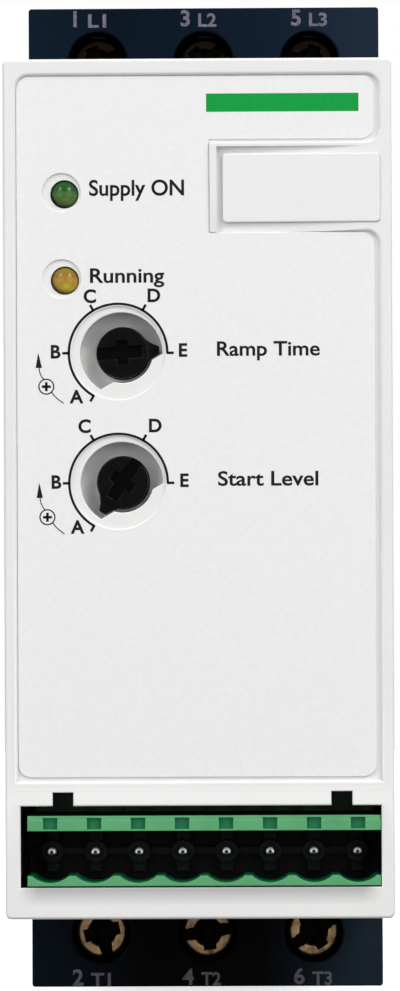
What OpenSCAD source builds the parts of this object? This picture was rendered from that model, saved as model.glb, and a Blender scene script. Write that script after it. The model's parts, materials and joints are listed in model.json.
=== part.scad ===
// Soft starter for a three-phase motor, 45 mm wide, for a 35 mm top-hat rail.
// Frame: X to the right seen from the front, Y into the panel, Z up.
// The rear mounting plane is y = 0 and the front faces -Y, so a depth d
// measured from the mounting plane lies at y = -d.
// The origin is on the mounting plane, on the centre line of the rail.

/* [Overall] */
// Width of the light front cover
cover_w = 45; // [44.6:0.1:45.4]
// Height of the light front cover
cover_h = 99.5; // [99:0.1:100]
// Width of the dark base
base_w = 44.4; // [44:0.1:45]
// Height of the dark base, over both terminal blocks
base_h = 124; // [123.6:0.1:125]
// Depth from the mounting plane to the terminal faces
base_d = 70; // [69.8:0.1:70.2]
// Depth from the mounting plane to the main front face
front_d = 130.2; // [130:0.1:130.5]
// How far the control-terminal section stands proud of the main front face
step_d = 0.3; // [0.2:0.1:0.6]

/* [Front panel] */
// Depth of the label pocket in the front face
pocket_d = 0.5; // [0.45:0.05:0.7]
// Thickness of the front label
label_t = 0.2; // [0.15:0.05:0.4]
// Radius of the round windows in the label around the setting wells
label_window_r = 5.42; // [5.3:0.01:5.6]
// Radius of the round windows in the label around the lamps
label_lamp_r = 2.23; // [2.22:0.01:2.4]
// Radius of the setting wells
well_r = 4.76; // [4.7:0.01:4.85]
// Distance between the two setting wells
well_pitch = 15; // [14.6:0.1:15.4]
// Radius of a setting knob's disc
knob_r = 2.95; // [2.8:0.05:3.05]
// Reach of a setting knob's pointer from its axis
pointer_r = 4.3; // [4:0.05:4.45]
// Radius of a lamp's dome
lamp_r = 1.62; // [1.5:0.01:1.66]

/* [Power terminals] */
// Distance between poles
pole_pitch = 13.45; // [13.2:0.05:13.6]
// Distance of the clamp screws from the top or bottom edge
screw_edge = 6.7; // [6.6:0.05:6.8]
// Radius of the screwdriver openings
access_r = 3.75; // [3.7:0.05:4.1]
// Radius of the clamp screw heads
head_r = 3.2; // [3:0.05:3.3]
// Radius of the clamp screw shanks
shank_r = 2.0; // [1.8:0.05:2.1]

/* [Control header] */
// Number of control pins
pin_n = 8; // [8:1:8]
// Distance between control pins
pin_pitch = 5.08; // [5:0.04:5.08]

/* [Rail clip] */
// Width of the sliding clip
clip_w = 12; // [11.6:0.1:12.2]
// Diameter of the clip spring's wire
spring_wire = 0.6; // [0.5:0.05:0.7]
// Turns in the clip spring
spring_turns = 6; // [5:1:7]

/* [Hidden] */
$fn = 64;

// Front stack
cav_x = 20.5;                       // inside half width of the cover
cav_z = cover_h / 2 - 2;            // inside half height of the cover
floor_d = front_d - pocket_d;       // label pocket floor
wall_d = floor_d - 2;               // inside face of the front wall
step_front = front_d + step_d;      // front of the control-terminal section
knob_front = floor_d - 0.6;
well_floor = floor_d - 3.2;         // floor of a setting well
bowl_r = 1.5;                       // rounding at the foot of a setting well's wall
cup_d = floor_d - 5.2;              // rear of a setting well's cup
ramp_d = front_d - 0.85;            // deep end of the marker pocket's ramp
// Label outline, and the pocket that it is pushed into the upper left of
lab_x0 = -20.96; lab_x1 = 20.45; lab_z0 = -33.4; lab_z1 = 47.75;
cut_x = 1.37; cut_z0 = 29.57; cut_z1 = 40.37;
pk_x = 21; pk_z0 = -33.85; pk_z1 = lab_z1 + 0.04;
pk_cut_x = cut_x + 0.04; pk_cut_z0 = cut_z0 + 0.04; pk_cut_z1 = cut_z1 - 0.42;
// Hooks of the cover (z, half length)
hooks = [[22, 8], [-40, 4]];
// Setting wells and knobs (x, z)
well_x = -8.87; well_z = 15.6;
knob_dx = 0.1; knob_dz = 0.15;
lab_dx = -0.37; lab_dz = 0.07;      // the label sits a little off the moulding
wells = [[well_x, well_z], [well_x, well_z - well_pitch]];
knobs = [for (w = wells) [w[0] + knob_dx, w[1] + knob_dz]];
time_deg = 4;                       // pointer towards mark E
level_deg = 236;                    // pointer towards mark A
// Lamps
lamps = [[-15.38, 34.1], [-15.36, 24.1]];
// Control header
pin_x0 = -17.31; pin_z = -42.2;
pins = [for (i = [0 : pin_n - 1]) pin_x0 + i * pin_pitch];
hd_x0 = pin_x0 - 2.63; hd_x1 = hd_x0 + 40.82;
hd_z0 = -45.94; hd_z1 = -37.82;
board_rear = 116.4; board_front = 118;
open_x0 = -20.72; open_x1 = 20.96; open_z0 = -46.1; open_z1 = -36.69;
scallop_r = 3.2; scallop_z = pin_z - 0.17; peak_z = -44.75; rail_z = -39.57;
// Power terminals
term_z = base_h / 2 - screw_edge;
poles = [-pole_pitch, 0, pole_pitch];
bar_d0 = 54; bar_t = 1.5;
head_d0 = 63.8; head_d1 = 66.4;
turns_deg = [24, 40, -18, 104, 8, 33];
// Boards
pw_rear = 60; pw_front = 61.6;
posts = [[-6.7, 41], [6.7, 41], [-6.7, -41], [6.7, -41]];
spacers = [[-16.5, 41], [16.5, 41], [-16.5, -30], [16.5, -30]];
// Rail clip
clip_d0 = 2.2; clip_d1 = 7.4;

// ---- drawing aids: front drawings are in (x, z), and a depth is counted from the mounting plane
module slab(d0, d1) { translate([0, -d0, 0]) rotate([90, 0, 0]) linear_extrude(height = d1 - d0) children(); }
module profile(x0, x1) { translate([x1, 0, 0]) rotate([0, 0, -90]) rotate([90, 0, 0]) linear_extrude(height = x1 - x0) children(); }
module block(x0, x1, d0, d1, z0, z1) { translate([x0, -d1, z0]) cube([x1 - x0, d1 - d0, z1 - z0]); }
module rod(x, z, r, d0, d1) { translate([x, -d0, z]) rotate([90, 0, 0]) cylinder(r = r, h = d1 - d0); }
module cone(x, z, r0, r1, d0, d1) { translate([x, -d0, z]) rotate([90, 0, 0]) cylinder(r1 = r0, r2 = r1, h = d1 - d0); }
module box2(x0, z0, x1, z1) { translate([x0, z0]) square([x1 - x0, z1 - z0]); }
module rrect(x0, z0, x1, z1, r) {
  union() {
    box2(x0 + r, z0, x1 - r, z1);
    box2(x0, z0 + r, x1, z1 - r);
    for (x = [x0 + r, x1 - r], z = [z0 + r, z1 - r]) translate([x, z]) circle(r = r);
  }
}
module pan_screw(x, z, rh, hh, rs, d_seat, len, out = 1) {
  // head stands towards the front (out = 1) or towards the rear (out = -1) of its seat
  difference() {
    union() {
      if (out > 0) { rod(x, z, rh, d_seat, d_seat + hh); rod(x, z, rs, d_seat - len, d_seat + 0.1); }
      else { rod(x, z, rh, d_seat - hh, d_seat); rod(x, z, rs, d_seat - 0.1, d_seat + len); }
    }
    if (out > 0) { block(x - rh * 0.65, x + rh * 0.65, d_seat + hh * 0.45, d_seat + hh + 1, z - 0.4, z + 0.4); block(x - 0.4, x + 0.4, d_seat + hh * 0.45, d_seat + hh + 1, z - rh * 0.65, z + rh * 0.65); }
    else { block(x - rh * 0.65, x + rh * 0.65, d_seat - hh - 1, d_seat - hh * 0.45, z - 0.4, z + 0.4); block(x - 0.4, x + 0.4, d_seat - hh - 1, d_seat - hh * 0.45, z - rh * 0.65, z + rh * 0.65); }
  }
}

// ---- dark base with the terminal blocks, the rail pocket and the clip channel
module terminal_cuts() {
  for (x = poles) {
    block(x - 5, x + 5, 45.6, 63.6, term_z - 4.7, term_z + 4.7);
    rod(x, term_z, access_r, 63.5, base_d + 1);
    block(x - 3.6, x + 3.6, 48.3, 53.8, term_z + 4.6, base_h / 2 + 1);
    block(x - 3.3, x + 3.3, 53.6, 55.9, 45, term_z - 4.6);
  }
}
module base_housing() {
  color([0.07, 0.09, 0.13]) union() {
    difference() {
      slab(0, base_d) rrect(-base_w / 2, -base_h / 2, base_w / 2, base_h / 2, 0.4);
      block(-20.2, 20.2, 10, base_d + 1, -46, 46);
      block(-20.2, 20.2, 10, 43.5, -60, 60);
      terminal_cuts();
      mirror([0, 0, 1]) terminal_cuts();
      // windows for the cover's hooks
      for (s = [-1, 1], h = hooks) block(s * 21.5 - 1.5, s * 21.5 + 1.5, 63, 66, h[0] - h[1] - 0.3, h[0] + h[1] + 0.3);
      // rail pocket with its fixed upper lip
      block(-30, 30, -1, 7.6, -18, 15.6);
      block(-30, 30, 6.2, 7.6, 15.5, 18);
      // open pockets in the rear face
      for (x = [[-20, -7.5], [-6, 6], [7.5, 20]]) block(x[0], x[1], -1, 7.6, 22, 59.5);
      for (x = [[-20, -8.7], [8.7, 20]]) block(x[0], x[1], -1, 7.6, -59.5, -22);
      // clip channel
      block(-6.2, 6.2, 2, 7.6, -base_h / 2 - 1, -17.9);
      // holes for the heatsink screws
      for (x = [-12, 12], z = [-30, 30]) rod(x, z, 1.7, 7, 11);
      // vents over and under the heatsink, and in the sides
      for (x = [-15 : 5 : 15]) block(x - 1.25, x + 1.25, 13, 32, -base_h / 2 - 1, base_h / 2 + 1);
      for (z = [-30 : 6 : 30]) block(-30, 30, 14, 32, z - 1.2, z + 1.2);
    }
    block(-2.2, 2.2, 3, 8, -44, -42);
    difference() {
      for (p = posts) rod(p[0], p[1], 3, 9, pw_rear);
      for (p = posts) rod(p[0], p[1], 1.3, 48, pw_rear + 1);
    }
  }
}

// ---- light front cover
module label_shape() {
  union() {
    rrect(lab_x0, cut_z1, lab_x1, lab_z1, 1.5);
    box2(lab_x0, 0, cut_x, lab_z1 - 1.5);
    rrect(lab_x0, lab_z0, lab_x1, cut_z0, 1.5);
  }
}
module pocket_shape() {
  union() {
    rrect(-pk_x, pk_cut_z1, pk_x, pk_z1, 1.5);
    box2(-pk_x, 0, pk_cut_x, pk_z1 - 1.5);
    rrect(-pk_x, 0, pk_x, pk_cut_z0, 1.5);
    box2(-pk_x, pk_z0, pk_x, 10);
  }
}
// a setting well: a round bowl, with a stop block between marks A and E
module setting_well() {
  difference() {
    rotate([90, 0, 0]) rotate_extrude() polygon(concat(
      [[0, well_floor]],
      [for (a = [-90 : 10 : 0]) [well_r - bowl_r + bowl_r * cos(a), well_floor + bowl_r + bowl_r * sin(a)]],
      [[well_r, step_front + 1], [0, step_front + 1]]));
    slab(cup_d - 2, step_front + 2) difference() {
      rotate(300) translate([well_r / 2, -8]) square([8, 16]);
      translate([knob_dx, knob_dz]) circle(r = knob_r + 0.6);
    }
  }
}
module front_cover() {
  color([0.90, 0.90, 0.89]) difference() {
    union() {
      difference() {
        union() {
          slab(base_d, front_d) rrect(-cover_w / 2, -cover_h / 2, cover_w / 2, cover_h / 2, 0.7);
          intersection() {
            profile(-cover_w / 2, cover_w / 2) polygon([[front_d - 2, -cover_h / 2], [step_front, -cover_h / 2], [step_front, -36.4], [front_d, -34.5], [front_d - 2, -34.5]]);
            slab(front_d - 3, step_front + 1) rrect(-cover_w / 2, -cover_h / 2, cover_w / 2, cover_h / 2, 0.7);
          }
        }
        block(-cav_x, cav_x, base_d - 1, wall_d, -cav_z, cav_z);
      }
      for (w = wells) rod(w[0], w[1], 6.2, cup_d, wall_d + 0.5);
      // hooks that hold the cover to the base
      for (s = [-1, 1], h = hooks) {
        block(min(s * 18.6, s * 20.6), max(s * 18.6, s * 20.6), base_d + 0.5, 74, h[0] - h[1], h[0] + h[1]);
        block(min(s * 18.6, s * 20.1), max(s * 18.6, s * 20.1), 62, 74, h[0] - h[1], h[0] + h[1]);
        block(min(s * 19.5, s * 21.6), max(s * 19.5, s * 21.6), 63.3, 65.6, h[0] - h[1] + 0.2, h[0] + h[1] - 0.2);
      }
    }
    // label pocket
    slab(floor_d, step_front + 1) pocket_shape();
    // marker pocket with its ramp, and its lug holes
    slab(128.4, step_front + 1) rrect(2.91, 30.68, 21.17, 38.76, 0.46);
    translate([0, 0, 29.45]) linear_extrude(height = 10.1) polygon([
      [2.24, -ramp_d], [19.3, -front_d], [19.3, -step_front - 1], [2.24, -step_front - 1]]);
    for (x = [7, 17]) block(x - 1, x + 1, 126, 129, 33.2, 36.2);
    // the ridge beside it runs out at its lower end
    profile(1, 2.5) polygon([[floor_d + label_t + 0.05, 29.3], [front_d + 1, 29.3], [front_d + 1, 32], [front_d, 32]]);
    // setting wells
    for (i = [0, 1]) {
      translate([wells[i][0], 0, wells[i][1]]) setting_well();
      rod(knobs[i][0], knobs[i][1], knob_r + 0.15, 120, well_floor + 0.5);
    }
    // lamp holes
    for (p = lamps) rod(p[0], p[1], lamp_r + 0.03, 126, step_front + 1);
    // control header opening with two key notches
    block(open_x0, open_x1, 116, step_front + 1, open_z0, open_z1);
    block(-17.0, -14.62, 126, step_front + 1, open_z1 - 1, -35.14);
    block(15.19, 17.61, 126, step_front + 1, open_z1 - 1, -35.08);
    // vents in the top and bottom
    for (x = [-15 : 5 : 15], d = [[78, 95], [100, 117]])
      block(x - 1.1, x + 1.1, d[0], d[1], -cover_h / 2 - 1, cover_h / 2 + 1);
  }
}
module front_label() {
  color([0.92, 0.92, 0.91]) slab(floor_d, floor_d + label_t) difference() {
    label_shape();
    for (w = wells) translate([w[0] + lab_dx, w[1] + lab_dz]) circle(r = label_window_r);
    for (p = lamps) translate([p[0] + lab_dx, p[1] + 0.2]) circle(r = label_lamp_r);
  }
}
module marker_plate() {
  color([0.93, 0.93, 0.92]) union() {
    intersection() {
      slab(128.45, step_front) rrect(2.93, 30.7, 21.15, 38.74, 0.45);
      translate([0, 0, 30]) linear_extrude(height = 10) polygon([
        [2, -128], [22, -128], [22, -ramp_d - 1.1], [2, -ramp_d - 0.55]]);
    }
    for (x = [7, 17]) block(x - 0.9, x + 0.9, 126.4, 128.6, 33.4, 36.0);
  }
}

// ---- rail clip and its spring
module din_clip() {
  color([0.10, 0.11, 0.13]) difference() {
    union() {
      block(-clip_w / 2, clip_w / 2, clip_d0, clip_d1, -61.8, -18.2);
      profile(-clip_w / 2, clip_w / 2) polygon([[clip_d0, -18.3], [6.3, -18.3], [6.3, -16.6], [4.9, -15.9], [clip_d0, -17.6]]);
    }
    block(-2.7, 2.7, 1, 9, -44.3, -27.9);
    block(-3.5, 3.5, 1, 9, -58.5, -56.5);
    for (z = [-54 : 2 : -48]) block(-4.5, 4.5, clip_d1 - 0.4, 9, z - 0.5, z + 0.5);
  }
}
function coil_pt(t, r, h, z0) = [r * cos(360 * spring_turns * t), -4.8 + r * sin(360 * spring_turns * t), z0 + h * t];
module clip_spring() {
  steps = spring_turns * 14; sides = 8; r = 1.75; h = 13.3 - spring_wire; z0 = -41.7 + spring_wire / 2;
  pts = [for (i = [0 : steps]) let (t = i / steps, a = 360 * spring_turns * t, c = coil_pt(t, r, h, z0))
    for (k = [0 : sides - 1]) let (b = 360 * k / sides, u = spring_wire / 2 * cos(b), v = spring_wire / 2 * sin(b))
      [c[0] + u * cos(a), c[1] + u * sin(a), c[2] + v]];
  faces = concat(
    [[for (k = [0 : sides - 1]) k]],
    [for (i = [0 : steps - 1], k = [0 : sides - 1])
      let (a = i * sides + k, b = i * sides + (k + 1) % sides) [a, a + sides, b + sides, b]],
    [[for (k = [sides - 1 : -1 : 0]) steps * sides + k]]);
  color([0.6, 0.6, 0.62]) polyhedron(points = pts, faces = faces, convexity = 8);
}

// ---- power section
module heatsink() {
  color([0.75, 0.76, 0.78]) difference() {
    union() {
      block(-19.6, 19.6, 29, 34, -36, 36);
      for (x = [-19.6, -5.2, -1.75, 1.7, 18.0]) block(x, x + 1.6, 12.5, 29.5, -36, 36);
      for (x = [-12, 12]) block(x - 3.5, x + 3.5, 12.5, 29.5, -36, 36);
      block(3.6, 5.2, 12.5, 29.5, -36, 36);
    }
    for (x = [-12, 12], z = [-30, 30]) rod(x, z, 1.52, 12, 23);
    for (x = [-11.2, 11.2], z = [-18.5, 18.5]) rod(x, z, 1.52, 26, 35);
  }
}
module heatsink_screws() { color([0.7, 0.7, 0.68]) for (x = [-12, 12], z = [-30, 30]) pan_screw(x, z, 2.75, 2.2, 1.5, 7.6, 14, -1); }
module thermal_pad(x) { color([0.75, 0.72, 0.6]) difference() { block(x - 8.5, x + 8.5, 34, 34.3, -22, 22); for (z = [-18.5, 18.5]) rod(x, z, 1.8, 33, 35); } }
module thermal_pad_1() { thermal_pad(-11.2); }
module thermal_pad_2() { thermal_pad(11.2); }
module thyristor_module(x, bx) {
  color([0.12, 0.12, 0.13]) difference() {
    union() {
      block(x - 8.5, x + 8.5, 34.3, 38, -22, 22);
      block(x - 8.5, x + 8.5, 37.9, 46, -15, 15);
    }
    for (z = [-18.5, 18.5]) rod(x, z, 1.7, 33, 39);
    for (z = [-9, 9]) rod(bx, z, 2.02, 40, 47);
    block(x - 9, x + 9, 44.5, 47, -1.2, 1.2);
  }
}
module thyristor_module_1() { thyristor_module(-11.2, -pole_pitch); }
module thyristor_module_2() { thyristor_module(11.2, pole_pitch); }
module module_screws() { color([0.7, 0.7, 0.68]) for (x = [-11.2, 11.2], z = [-18.5, 18.5]) pan_screw(x, z, 2.75, 2.2, 1.5, 38, 8, 1); }
module busbar(x) {
  color([0.72, 0.45, 0.30]) difference() {
    profile(x - 3, x + 3) polygon([[bar_d0, 59.2], [bar_d0 + bar_t, 59.2], [bar_d0 + bar_t, 16.5], [47.5, 16.5], [47.5, 4], [46, 4], [46, 18], [bar_d0, 18]]);
    rod(x, 9, 2.1, 45, 48);
  }
}
module busbar_l1() { busbar(-pole_pitch); }
module busbar_l3() { busbar(pole_pitch); }
module busbar_t1() { mirror([0, 0, 1]) busbar(-pole_pitch); }
module busbar_t3() { mirror([0, 0, 1]) busbar(pole_pitch); }
module busbar_l2() { color([0.72, 0.45, 0.30]) block(-3, 3, bar_d0, bar_d0 + bar_t, -59.2, 59.2); }
module busbar_screws() { color([0.72, 0.7, 0.62]) for (x = [-pole_pitch, pole_pitch], z = [-9, 9]) pan_screw(x, z, 3.2, 2.4, 2.0, 47.5, 6.5, 1); }

// rising cage clamp: the screw turns in place on the bar and draws the cage forward
module clamp_cage(x, z) {
  color([0.80, 0.80, 0.76]) difference() {
    block(x - 4.8, x + 4.8, 46.2, 59.5, z - 4, z + 4);
    block(x - 3.5, x + 3.5, 48.2, 56.5, z - 5, z + 5);
    rod(x, z, shank_r + 0.05, 56, 60);
  }
}
module clamp_screw(x, z, turn) {
  color([0.66, 0.55, 0.33]) translate([x, 0, z]) rotate([0, -turn, 0]) difference() {
    union() {
      rod(0, 0, head_r, head_d0, head_d1 - 0.3);
      cone(0, 0, head_r, head_r - 0.3, head_d1 - 0.3, head_d1);
      rod(0, 0, shank_r, bar_d0 + bar_t + 0.9, head_d0 + 0.1);
      cone(0, 0, shank_r - 0.5, shank_r, bar_d0 + bar_t + 0.05, bar_d0 + bar_t + 0.9);
    }
    block(-head_r - 1, head_r + 1, head_d1 - 1.5, head_d1 + 1, -0.72, 0.72);
    block(-2.3, 2.3, head_d1 - 1.8, head_d1 + 1, -0.8, 0.8);
    block(-0.8, 0.8, head_d1 - 1.8, head_d1 + 1, -2.3, 2.3);
    cone(0, 0, 0.8, 1.9, head_d1 - 2.1, head_d1 + 0.01);
  }
}
module clamp_cage_l1() { clamp_cage(poles[0], term_z); }
module clamp_cage_l2() { clamp_cage(poles[1], term_z); }
module clamp_cage_l3() { clamp_cage(poles[2], term_z); }
module clamp_cage_t1() { clamp_cage(poles[0], -term_z); }
module clamp_cage_t2() { clamp_cage(poles[1], -term_z); }
module clamp_cage_t3() { clamp_cage(poles[2], -term_z); }
module clamp_screw_l1() { clamp_screw(poles[0], term_z, turns_deg[0]); }
module clamp_screw_l2() { clamp_screw(poles[1], term_z, turns_deg[1]); }
module clamp_screw_l3() { clamp_screw(poles[2], term_z, turns_deg[2]); }
module clamp_screw_t1() { clamp_screw(poles[0], -term_z, turns_deg[3]); }
module clamp_screw_t2() { clamp_screw(poles[1], -term_z, turns_deg[4]); }
module clamp_screw_t3() { clamp_screw(poles[2], -term_z, turns_deg[5]); }

// ---- power board and what it carries
module power_board() {
  color([0.10, 0.32, 0.16]) difference() {
    slab(pw_rear, pw_front) rrect(-19.5, -45, 19.5, 45, 1);
    for (p = posts) rod(p[0], p[1], 1.6, 59, 63);
    for (p = spacers) rod(p[0], p[1], 1.6, 59, 63);
  }
}
module board_screws() { color([0.72, 0.72, 0.7]) for (p = posts) pan_screw(p[0], p[1], 2.7, 2, 1.28, pw_front, 9, 1); }
module board_spacers() {
  color([0.78, 0.66, 0.36]) for (p = spacers) difference() {
    translate([p[0], -pw_front, p[1]]) rotate([90, 0, 0]) cylinder(r = 3.1, h = board_rear - pw_front, $fn = 6);
    rod(p[0], p[1], 1.28, pw_front - 1, pw_front + 9);
    rod(p[0], p[1], 1.28, board_rear - 9, board_rear + 1);
  }
}
module spacer_screws() {
  color([0.72, 0.72, 0.7]) for (p = spacers) {
    pan_screw(p[0], p[1], 2.7, 2, 1.27, pw_rear, 8, -1);
    pan_screw(p[0], p[1], 2.7, 2, 1.27, board_front, 8, 1);
  }
}
module bypass_relay(x0, x1) {
  color([0.16, 0.17, 0.20]) union() {
    slab(pw_front + 0.5, 86.5) rrect(x0, 4, x1, 33, 0.8);
    for (x = [x0 + 1, x1 - 2.2], z = [5, 30.8]) block(x, x + 1.2, pw_front, pw_front + 0.6, z, z + 1.2);
    slab(86.4, 87) rrect(x0 + 1.5, 6, x1 - 1.5, 31, 0.8);
  }
}
module bypass_relay_1() { bypass_relay(-13, -0.3); }
module bypass_relay_2() { bypass_relay(0.3, 13); }
module transformer_core() {
  color([0.35, 0.35, 0.37]) difference() {
    block(-12, 12, 65, 81, -25, -5);
    block(-8.2, -3.8, 60, 85, -22, -8);
    block(3.8, 8.2, 60, 85, -22, -8);
  }
}
module transformer_coil() {
  color([0.78, 0.62, 0.25]) union() {
    difference() {
      block(-8, 8, pw_front + 0.8, 84, -21.8, -8.2);
      block(-4, 4, 64.8, 81.2, -26, -4);
    }
    for (x = [-6, 6], z = [-20, -11]) block(x - 0.6, x + 0.6, pw_front, pw_front + 1, z, z + 1.2);
  }
}
module capacitor(x, z) {
  color([0.10, 0.13, 0.25]) translate([x, -pw_front, z]) rotate([90, 0, 0]) rotate_extrude() polygon([
    [0, 0], [4.6, 0], [5, 0.4], [5, 2.2], [4.6, 2.6], [4.6, 3.2], [5, 3.6], [5, 15.6], [4.6, 16], [4.0, 16], [3.8, 15.7], [0, 15.7]]);
}
module capacitor_1() { capacitor(-5.6, -32); }
module capacitor_2() { capacitor(5.6, -32); }
module varistor(x) {
  color([0.20, 0.33, 0.62]) union() {
    translate([x - 1.7, -pw_front - 7, 39.6]) rotate([0, 90, 0]) cylinder(r = 5, h = 3.4);
    for (z = [37.1, 41.3]) block(x - 0.4, x + 0.4, pw_front, pw_front + 4, z, z + 0.8);
  }
}
module varistor_l1() { varistor(-11.35); }
module varistor_l2() { varistor(0); }
module varistor_l3() { varistor(11.35); }
module link_socket(d0, d1) { color([0.14, 0.14, 0.15]) difference() { block(14, 19.2, d0, d1, -21, -3); block(16.1, 17.1, d0 == pw_front ? d1 - 3 : d0 - 1, d0 == pw_front ? d1 + 1 : d0 + 3, -20, -4); } }
module link_socket_rear() { link_socket(pw_front, 69); }
module link_socket_front() { link_socket(109, board_rear); }
module ribbon_cable() {
  color([0.62, 0.62, 0.66]) translate([0, 0, -19.5]) linear_extrude(height = 15) polygon([
    [16.2, -66.2], [17.0, -66.2], [17.0, -74], [18.6, -82], [18.6, -96], [17.0, -104], [17.0, -111.8],
    [16.2, -111.8], [16.2, -104], [17.8, -96], [17.8, -82], [16.2, -74]]);
}

// ---- control board and what it carries
module control_board() {
  color([0.10, 0.34, 0.17]) difference() {
    slab(board_rear, board_front) rrect(-19.5, -47, 20.3, 45, 0.8);
    for (p = spacers) rod(p[0], p[1], 1.6, 115, 119);
    for (x = pins) rod(x, pin_z, 0.55, 115, 119);
    for (p = lamps, s = [-0.6, 0.6]) rod(p[0] + s, p[1], 0.4, 115, 119);
  }
}
module controller_chip() { color([0.08, 0.08, 0.09]) difference() { slab(114.8, board_rear) rrect(-4, 20, 6, 30, 0.3); rod(-3, 29, 0.6, 114, 115); } }
module trimmer_body(k) {
  color([0.16, 0.28, 0.52]) difference() {
    slab(board_front, 124) rrect(k[0] - 4.8, k[1] - 4.8, k[0] + 4.8, k[1] + 4.8, 0.5);
    rod(k[0], k[1], 1.65, 119.5, 125);
  }
}
module trimmer_body_time() { trimmer_body(knobs[0]); }
module trimmer_body_level() { trimmer_body(knobs[1]); }
module setting_knob(k, turn) {
  color([0.03, 0.03, 0.04]) translate([k[0], 0, k[1]]) rotate([0, -turn, 0]) difference() {
    union() {
      rod(0, 0, 1.6, 119.7, 124.5);
      rod(0, 0, knob_r, 124.3, knob_front);
      slab(knob_front - 1.1, knob_front - 0.15) polygon([[0, -2.5], [1.9, -2.15], [2.6, -1.5], [3.4, -0.88], [pointer_r, -0.42], [pointer_r, 0.42], [3.4, 0.88], [2.6, 1.5], [1.9, 2.15], [0, 2.5]]);
    }
    block(-3.6, 2.3, knob_front - 1.4, knob_front + 1, -0.68, 0.68);
    block(-0.62, 0.62, knob_front - 1.4, knob_front + 1, -1.4, 1.4);
  }
}
module time_knob() { setting_knob(knobs[0], time_deg); }
module level_knob() { setting_knob(knobs[1], level_deg); }
module led(p, shade) {
  color(shade) union() {
    translate([p[0], -123, p[1]]) rotate([90, 0, 0]) rotate_extrude() polygon(concat(
      [[0, 0], [1.9, 0], [1.9, 1], [lamp_r, 1]],
      [for (a = [0 : 7.5 : 90]) [a == 90 ? 0 : lamp_r * cos(a), 5.85 + lamp_r * sin(a)]]));
    for (s = [-0.6, 0.6]) rod(p[0] + s, p[1], 0.25, 115.6, 123.2);
  }
}
module led_green() { led(lamps[0], [0.10, 0.35, 0.13]); }
module led_yellow() { led(lamps[1], [0.72, 0.52, 0.08]); }

// ---- control header
module header_cavity(g) {
  intersection() {
    box2(hd_x0 - 1 + 2 * g, hd_z0 + 0.1, hd_x1 + 1 - 2 * g, rail_z - g);
    union() {
      for (x = pins) translate([x, scallop_z]) circle(r = scallop_r - g);
      box2(hd_x0 - 2, peak_z + g, hd_x1 + 2, rail_z);
    }
  }
}
module header_shroud() {
  color([0.30, 0.66, 0.40]) difference() {
    slab(board_front, 130.4) box2(hd_x0, hd_z0, hd_x1, hd_z1);
    slab(121, 132) header_cavity(0);
    for (x = pins) {
      block(x - 0.82, x + 0.82, 129.7, 132, -39.38, -38.08);
      rod(x, pin_z, 0.55, 117, 122);
    }
    block(hd_x0 - 1, hd_x1 + 1, 130.15, 132, -38.36, -37);
  }
}
module pin_carrier() {
  color([0.03, 0.04, 0.04]) difference() {
    union() {
      intersection() {
        slab(121, 122.2) header_cavity(0.08);
        block(hd_x0 + 0.1, hd_x1 - 0.1, 120, 124, -47, -37);
      }
      block(hd_x0 + 0.1, hd_x1 - 0.1, 122.1, 123.2, pin_z - 0.4, pin_z + 0.4);
      for (x = pins) {
        block(x - 0.75, x + 0.75, 122.1, 123.4, -44.6, rail_z - 0.2);
        rod(x, pin_z, 1.32, 122.1, 124.6);
      }
    }
    for (x = pins) rod(x, pin_z, 0.52, 120, 126);
  }
}
module header_pins() {
  color([0.80, 0.80, 0.80]) for (x = pins) {
    translate([x, -115.4, pin_z]) rotate([90, 0, 0]) rotate_extrude() polygon(concat(
      [[0, 0], [0.5, 0]],
      [for (a = [0 : 15 : 90]) [0.26 + 0.24 * cos(a), 10.56 + 0.24 * sin(a)]],
      [[0, 10.8]]));
  }
}

base_housing();
front_cover();
front_label();
marker_plate();
din_clip();
clip_spring();
heatsink();
heatsink_screws();
thermal_pad_1();
thermal_pad_2();
thyristor_module_1();
thyristor_module_2();
module_screws();
busbar_l1();
busbar_l2();
busbar_l3();
busbar_t1();
busbar_t3();
busbar_screws();
clamp_cage_l1();
clamp_cage_l2();
clamp_cage_l3();
clamp_cage_t1();
clamp_cage_t2();
clamp_cage_t3();
clamp_screw_l1();
clamp_screw_l2();
clamp_screw_l3();
clamp_screw_t1();
clamp_screw_t2();
clamp_screw_t3();
power_board();
board_screws();
board_spacers();
spacer_screws();
bypass_relay_1();
bypass_relay_2();
transformer_core();
transformer_coil();
capacitor_1();
capacitor_2();
varistor_l1();
varistor_l2();
varistor_l3();
link_socket_rear();
link_socket_front();
ribbon_cable();
control_board();
controller_chip();
trimmer_body_time();
trimmer_body_level();
time_knob();
level_knob();
led_green();
led_yellow();
header_shroud();
pin_carrier();
header_pins();
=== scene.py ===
import json
import math

import bmesh
import bpy
from mathutils import Matrix, Vector


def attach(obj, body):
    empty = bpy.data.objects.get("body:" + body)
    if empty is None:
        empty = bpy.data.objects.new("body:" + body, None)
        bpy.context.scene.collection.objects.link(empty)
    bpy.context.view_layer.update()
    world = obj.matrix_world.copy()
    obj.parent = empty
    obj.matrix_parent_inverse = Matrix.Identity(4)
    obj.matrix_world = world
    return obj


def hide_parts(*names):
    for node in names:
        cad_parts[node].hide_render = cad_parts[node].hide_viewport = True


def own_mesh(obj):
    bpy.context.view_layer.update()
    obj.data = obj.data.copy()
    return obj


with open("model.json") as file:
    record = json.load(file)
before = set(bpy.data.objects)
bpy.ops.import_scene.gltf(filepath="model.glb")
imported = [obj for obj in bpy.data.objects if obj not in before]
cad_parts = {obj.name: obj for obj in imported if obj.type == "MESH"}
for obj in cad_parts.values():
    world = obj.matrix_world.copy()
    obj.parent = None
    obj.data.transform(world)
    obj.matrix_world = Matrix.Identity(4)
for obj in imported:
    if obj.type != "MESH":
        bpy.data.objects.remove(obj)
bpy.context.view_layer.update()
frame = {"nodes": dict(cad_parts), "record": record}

scene = bpy.context.scene
NODES = frame["nodes"]
MM = 0.001
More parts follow.
